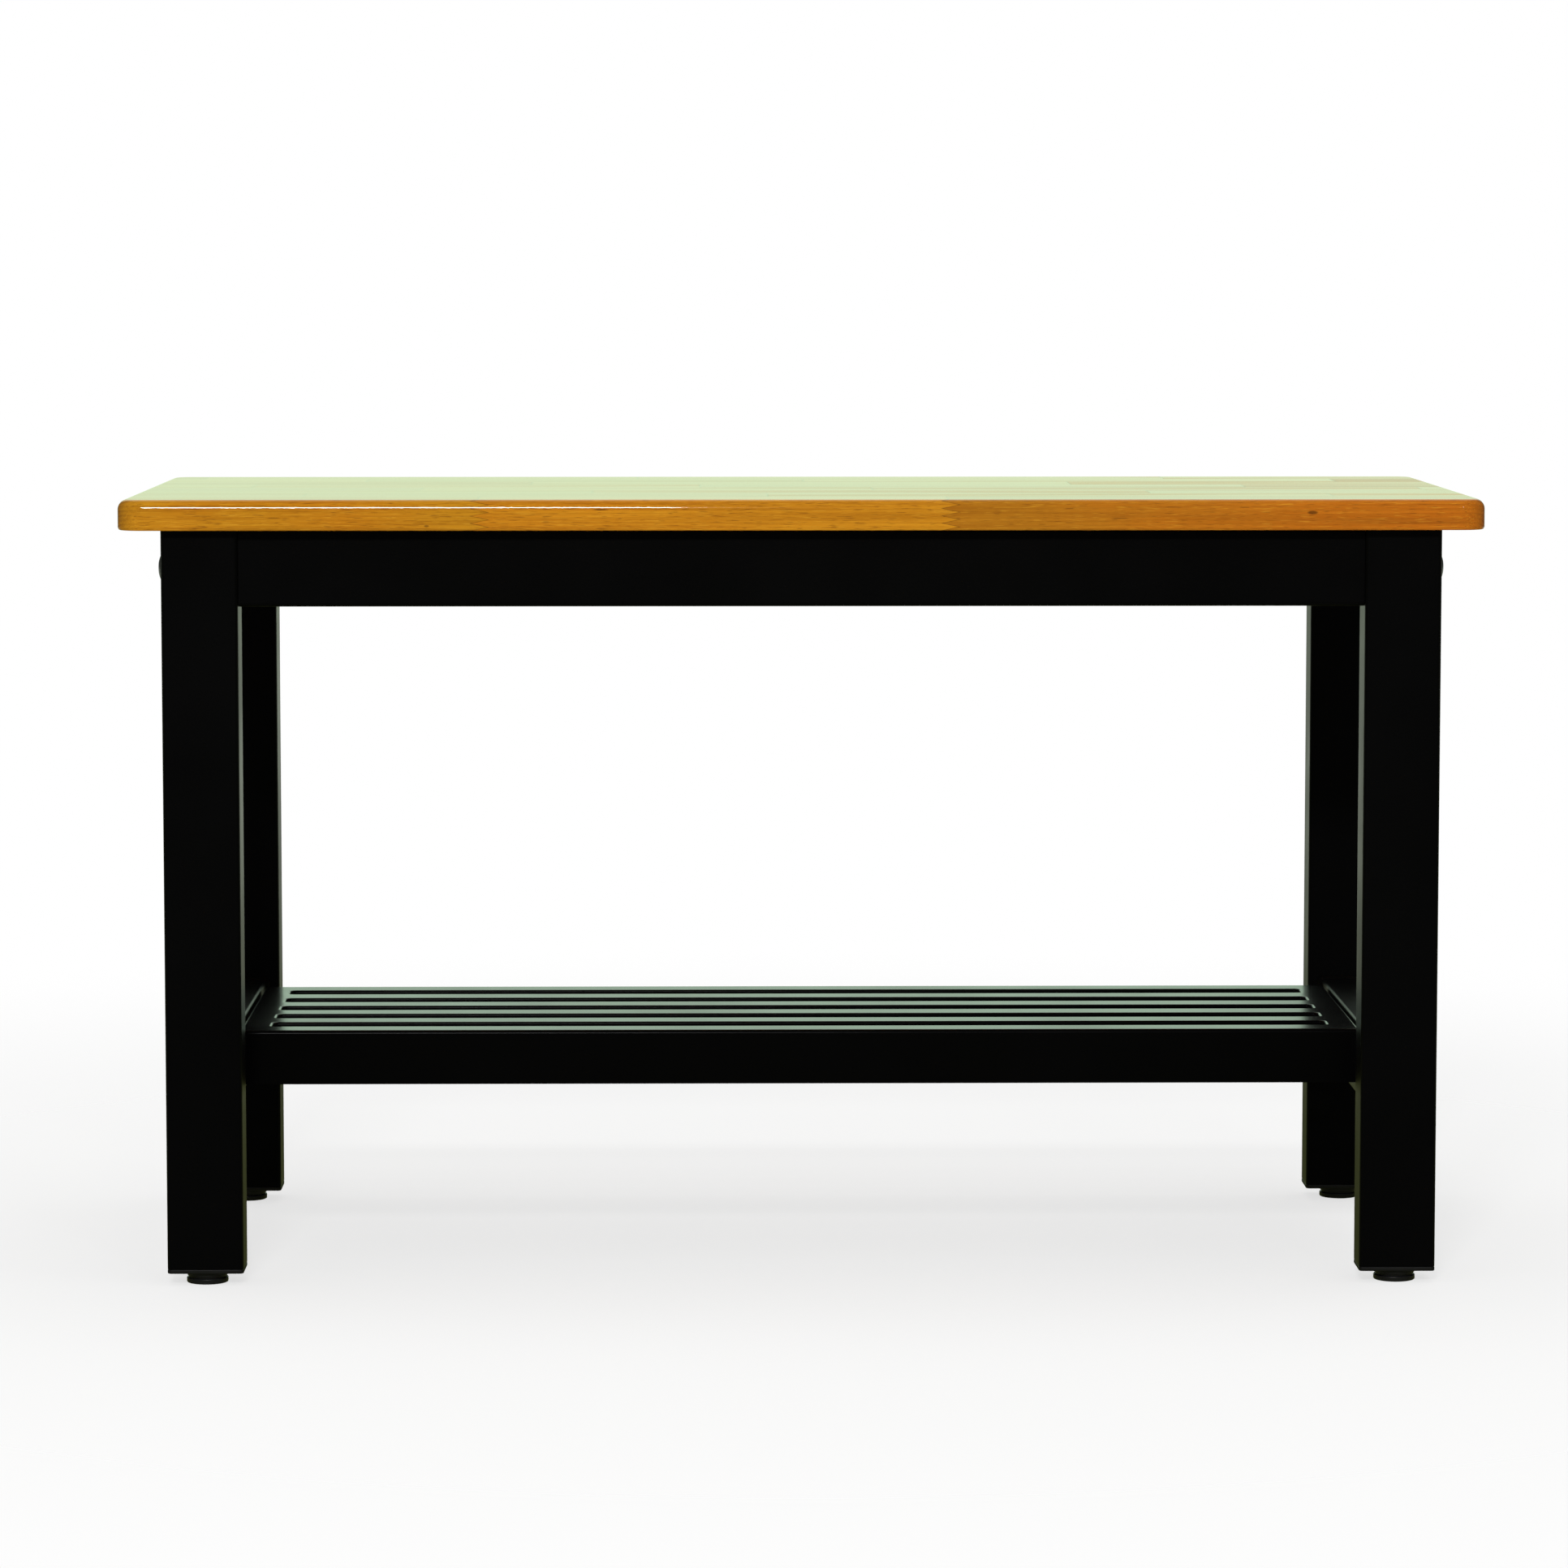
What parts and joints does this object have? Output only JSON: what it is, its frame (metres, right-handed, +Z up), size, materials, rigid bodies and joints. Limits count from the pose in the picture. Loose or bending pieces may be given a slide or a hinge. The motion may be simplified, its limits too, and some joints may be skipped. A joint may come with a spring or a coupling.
{
  "type": "entryway bench",
  "caption": "Low bench: rounded timber seat board on a bolted black steel tube frame, with a slotted sheet shoe shelf between the legs and screw-in levelling feet.",
  "frame": {"origin": "on the floor, under the middle of the seat", "axes": "+X along the seat to the right as seen from the front, +Y to the back, +Z up"},
  "size_m": [0.8, 0.35, 0.4645],
  "materials": {
    "timber": "clear gloss varnish on finger-jointed timber",
    "coated_tube": "black satin powder coat",
    "coated_sheet": "black satin powder coat",
    "bolt_black": "black oxide, lightly glossy",
    "zinc_steel": "bright zinc plating",
    "plug_plastic": "moulded black plastic",
    "foot_plastic": "moulded black plastic, lightly glossy"
  },
  "bodies": {
    "frame": {"apron_back": "coated_tube", "apron_bolts": "bolt_black", "apron_end_plates": "coated_tube", "apron_front": "coated_tube", "apron_weld_nuts": "zinc_steel", "foot_inserts": "zinc_steel", "leg_back_left": "coated_tube", "leg_back_right": "coated_tube", "leg_front_left": "coated_tube", "leg_front_right": "coated_tube", "leg_plug_back_left": "plug_plastic", "leg_plug_back_right": "plug_plastic", "leg_plug_front_left": "plug_plastic", "leg_plug_front_right": "plug_plastic", "lower_rail_left": "coated_tube", "lower_rail_right": "coated_tube", "seat_board": "timber", "seat_screws": "zinc_steel", "seat_tabs_aprons": "coated_tube", "seat_tabs_rails": "coated_tube", "shelf_rivet_nuts": "zinc_steel", "shelf_screws": "bolt_black", "shelf_tray": "coated_sheet", "upper_rail_left": "coated_tube", "upper_rail_right": "coated_tube"},
    "foot_front_left": {"foot_base_front_left": "foot_plastic"},
    "stud_front_left": {"foot_stud_front_left": "zinc_steel", "foot_collar_front_left": "foot_plastic"},
    "foot_front_right": {"foot_base_front_right": "foot_plastic"},
    "stud_front_right": {"foot_stud_front_right": "zinc_steel", "foot_collar_front_right": "foot_plastic"},
    "foot_back_left": {"foot_base_back_left": "foot_plastic"},
    "stud_back_left": {"foot_stud_back_left": "zinc_steel", "foot_collar_back_left": "foot_plastic"},
    "foot_back_right": {"foot_base_back_right": "foot_plastic"},
    "stud_back_right": {"foot_stud_back_right": "zinc_steel", "foot_collar_back_right": "foot_plastic"}
  },
  "joints": [
    {"name": "foot_front_left_travel", "type": "slide", "parent": "frame", "child": "foot_front_left", "axis": [0, 0, 1], "range_m": [-0.012, 0]},
    {"name": "foot_front_left_turn", "type": "hinge", "parent": "foot_front_left", "child": "stud_front_left", "pos_m": [-0.3525, -0.15, 0], "axis": [0, 0, 1], "range_deg": [-3420, 0]},
    {"name": "foot_front_right_travel", "type": "slide", "parent": "frame", "child": "foot_front_right", "axis": [0, 0, 1], "range_m": [-0.012, 0]},
    {"name": "foot_front_right_turn", "type": "hinge", "parent": "foot_front_right", "child": "stud_front_right", "pos_m": [0.3525, -0.15, 0], "axis": [0, 0, 1], "range_deg": [-3420, 0]},
    {"name": "foot_back_left_travel", "type": "slide", "parent": "frame", "child": "foot_back_left", "axis": [0, 0, 1], "range_m": [-0.012, 0]},
    {"name": "foot_back_left_turn", "type": "hinge", "parent": "foot_back_left", "child": "stud_back_left", "pos_m": [-0.3525, 0.15, 0], "axis": [0, 0, 1], "range_deg": [-3420, 0]},
    {"name": "foot_back_right_travel", "type": "slide", "parent": "frame", "child": "foot_back_right", "axis": [0, 0, 1], "range_m": [-0.012, 0]},
    {"name": "foot_back_right_turn", "type": "hinge", "parent": "foot_back_right", "child": "stud_back_right", "pos_m": [0.3525, 0.15, 0], "axis": [0, 0, 1], "range_deg": [-3420, 0]}
  ],
  "couplings": [
    {"joint": "foot_front_left_travel", "follows": "foot_front_left_turn", "m_per_rad": 0.00019894},
    {"joint": "foot_front_right_travel", "follows": "foot_front_right_turn", "m_per_rad": 0.00019894},
    {"joint": "foot_back_left_travel", "follows": "foot_back_left_turn", "m_per_rad": 0.00019894},
    {"joint": "foot_back_right_travel", "follows": "foot_back_right_turn", "m_per_rad": 0.00019894}
  ]
}
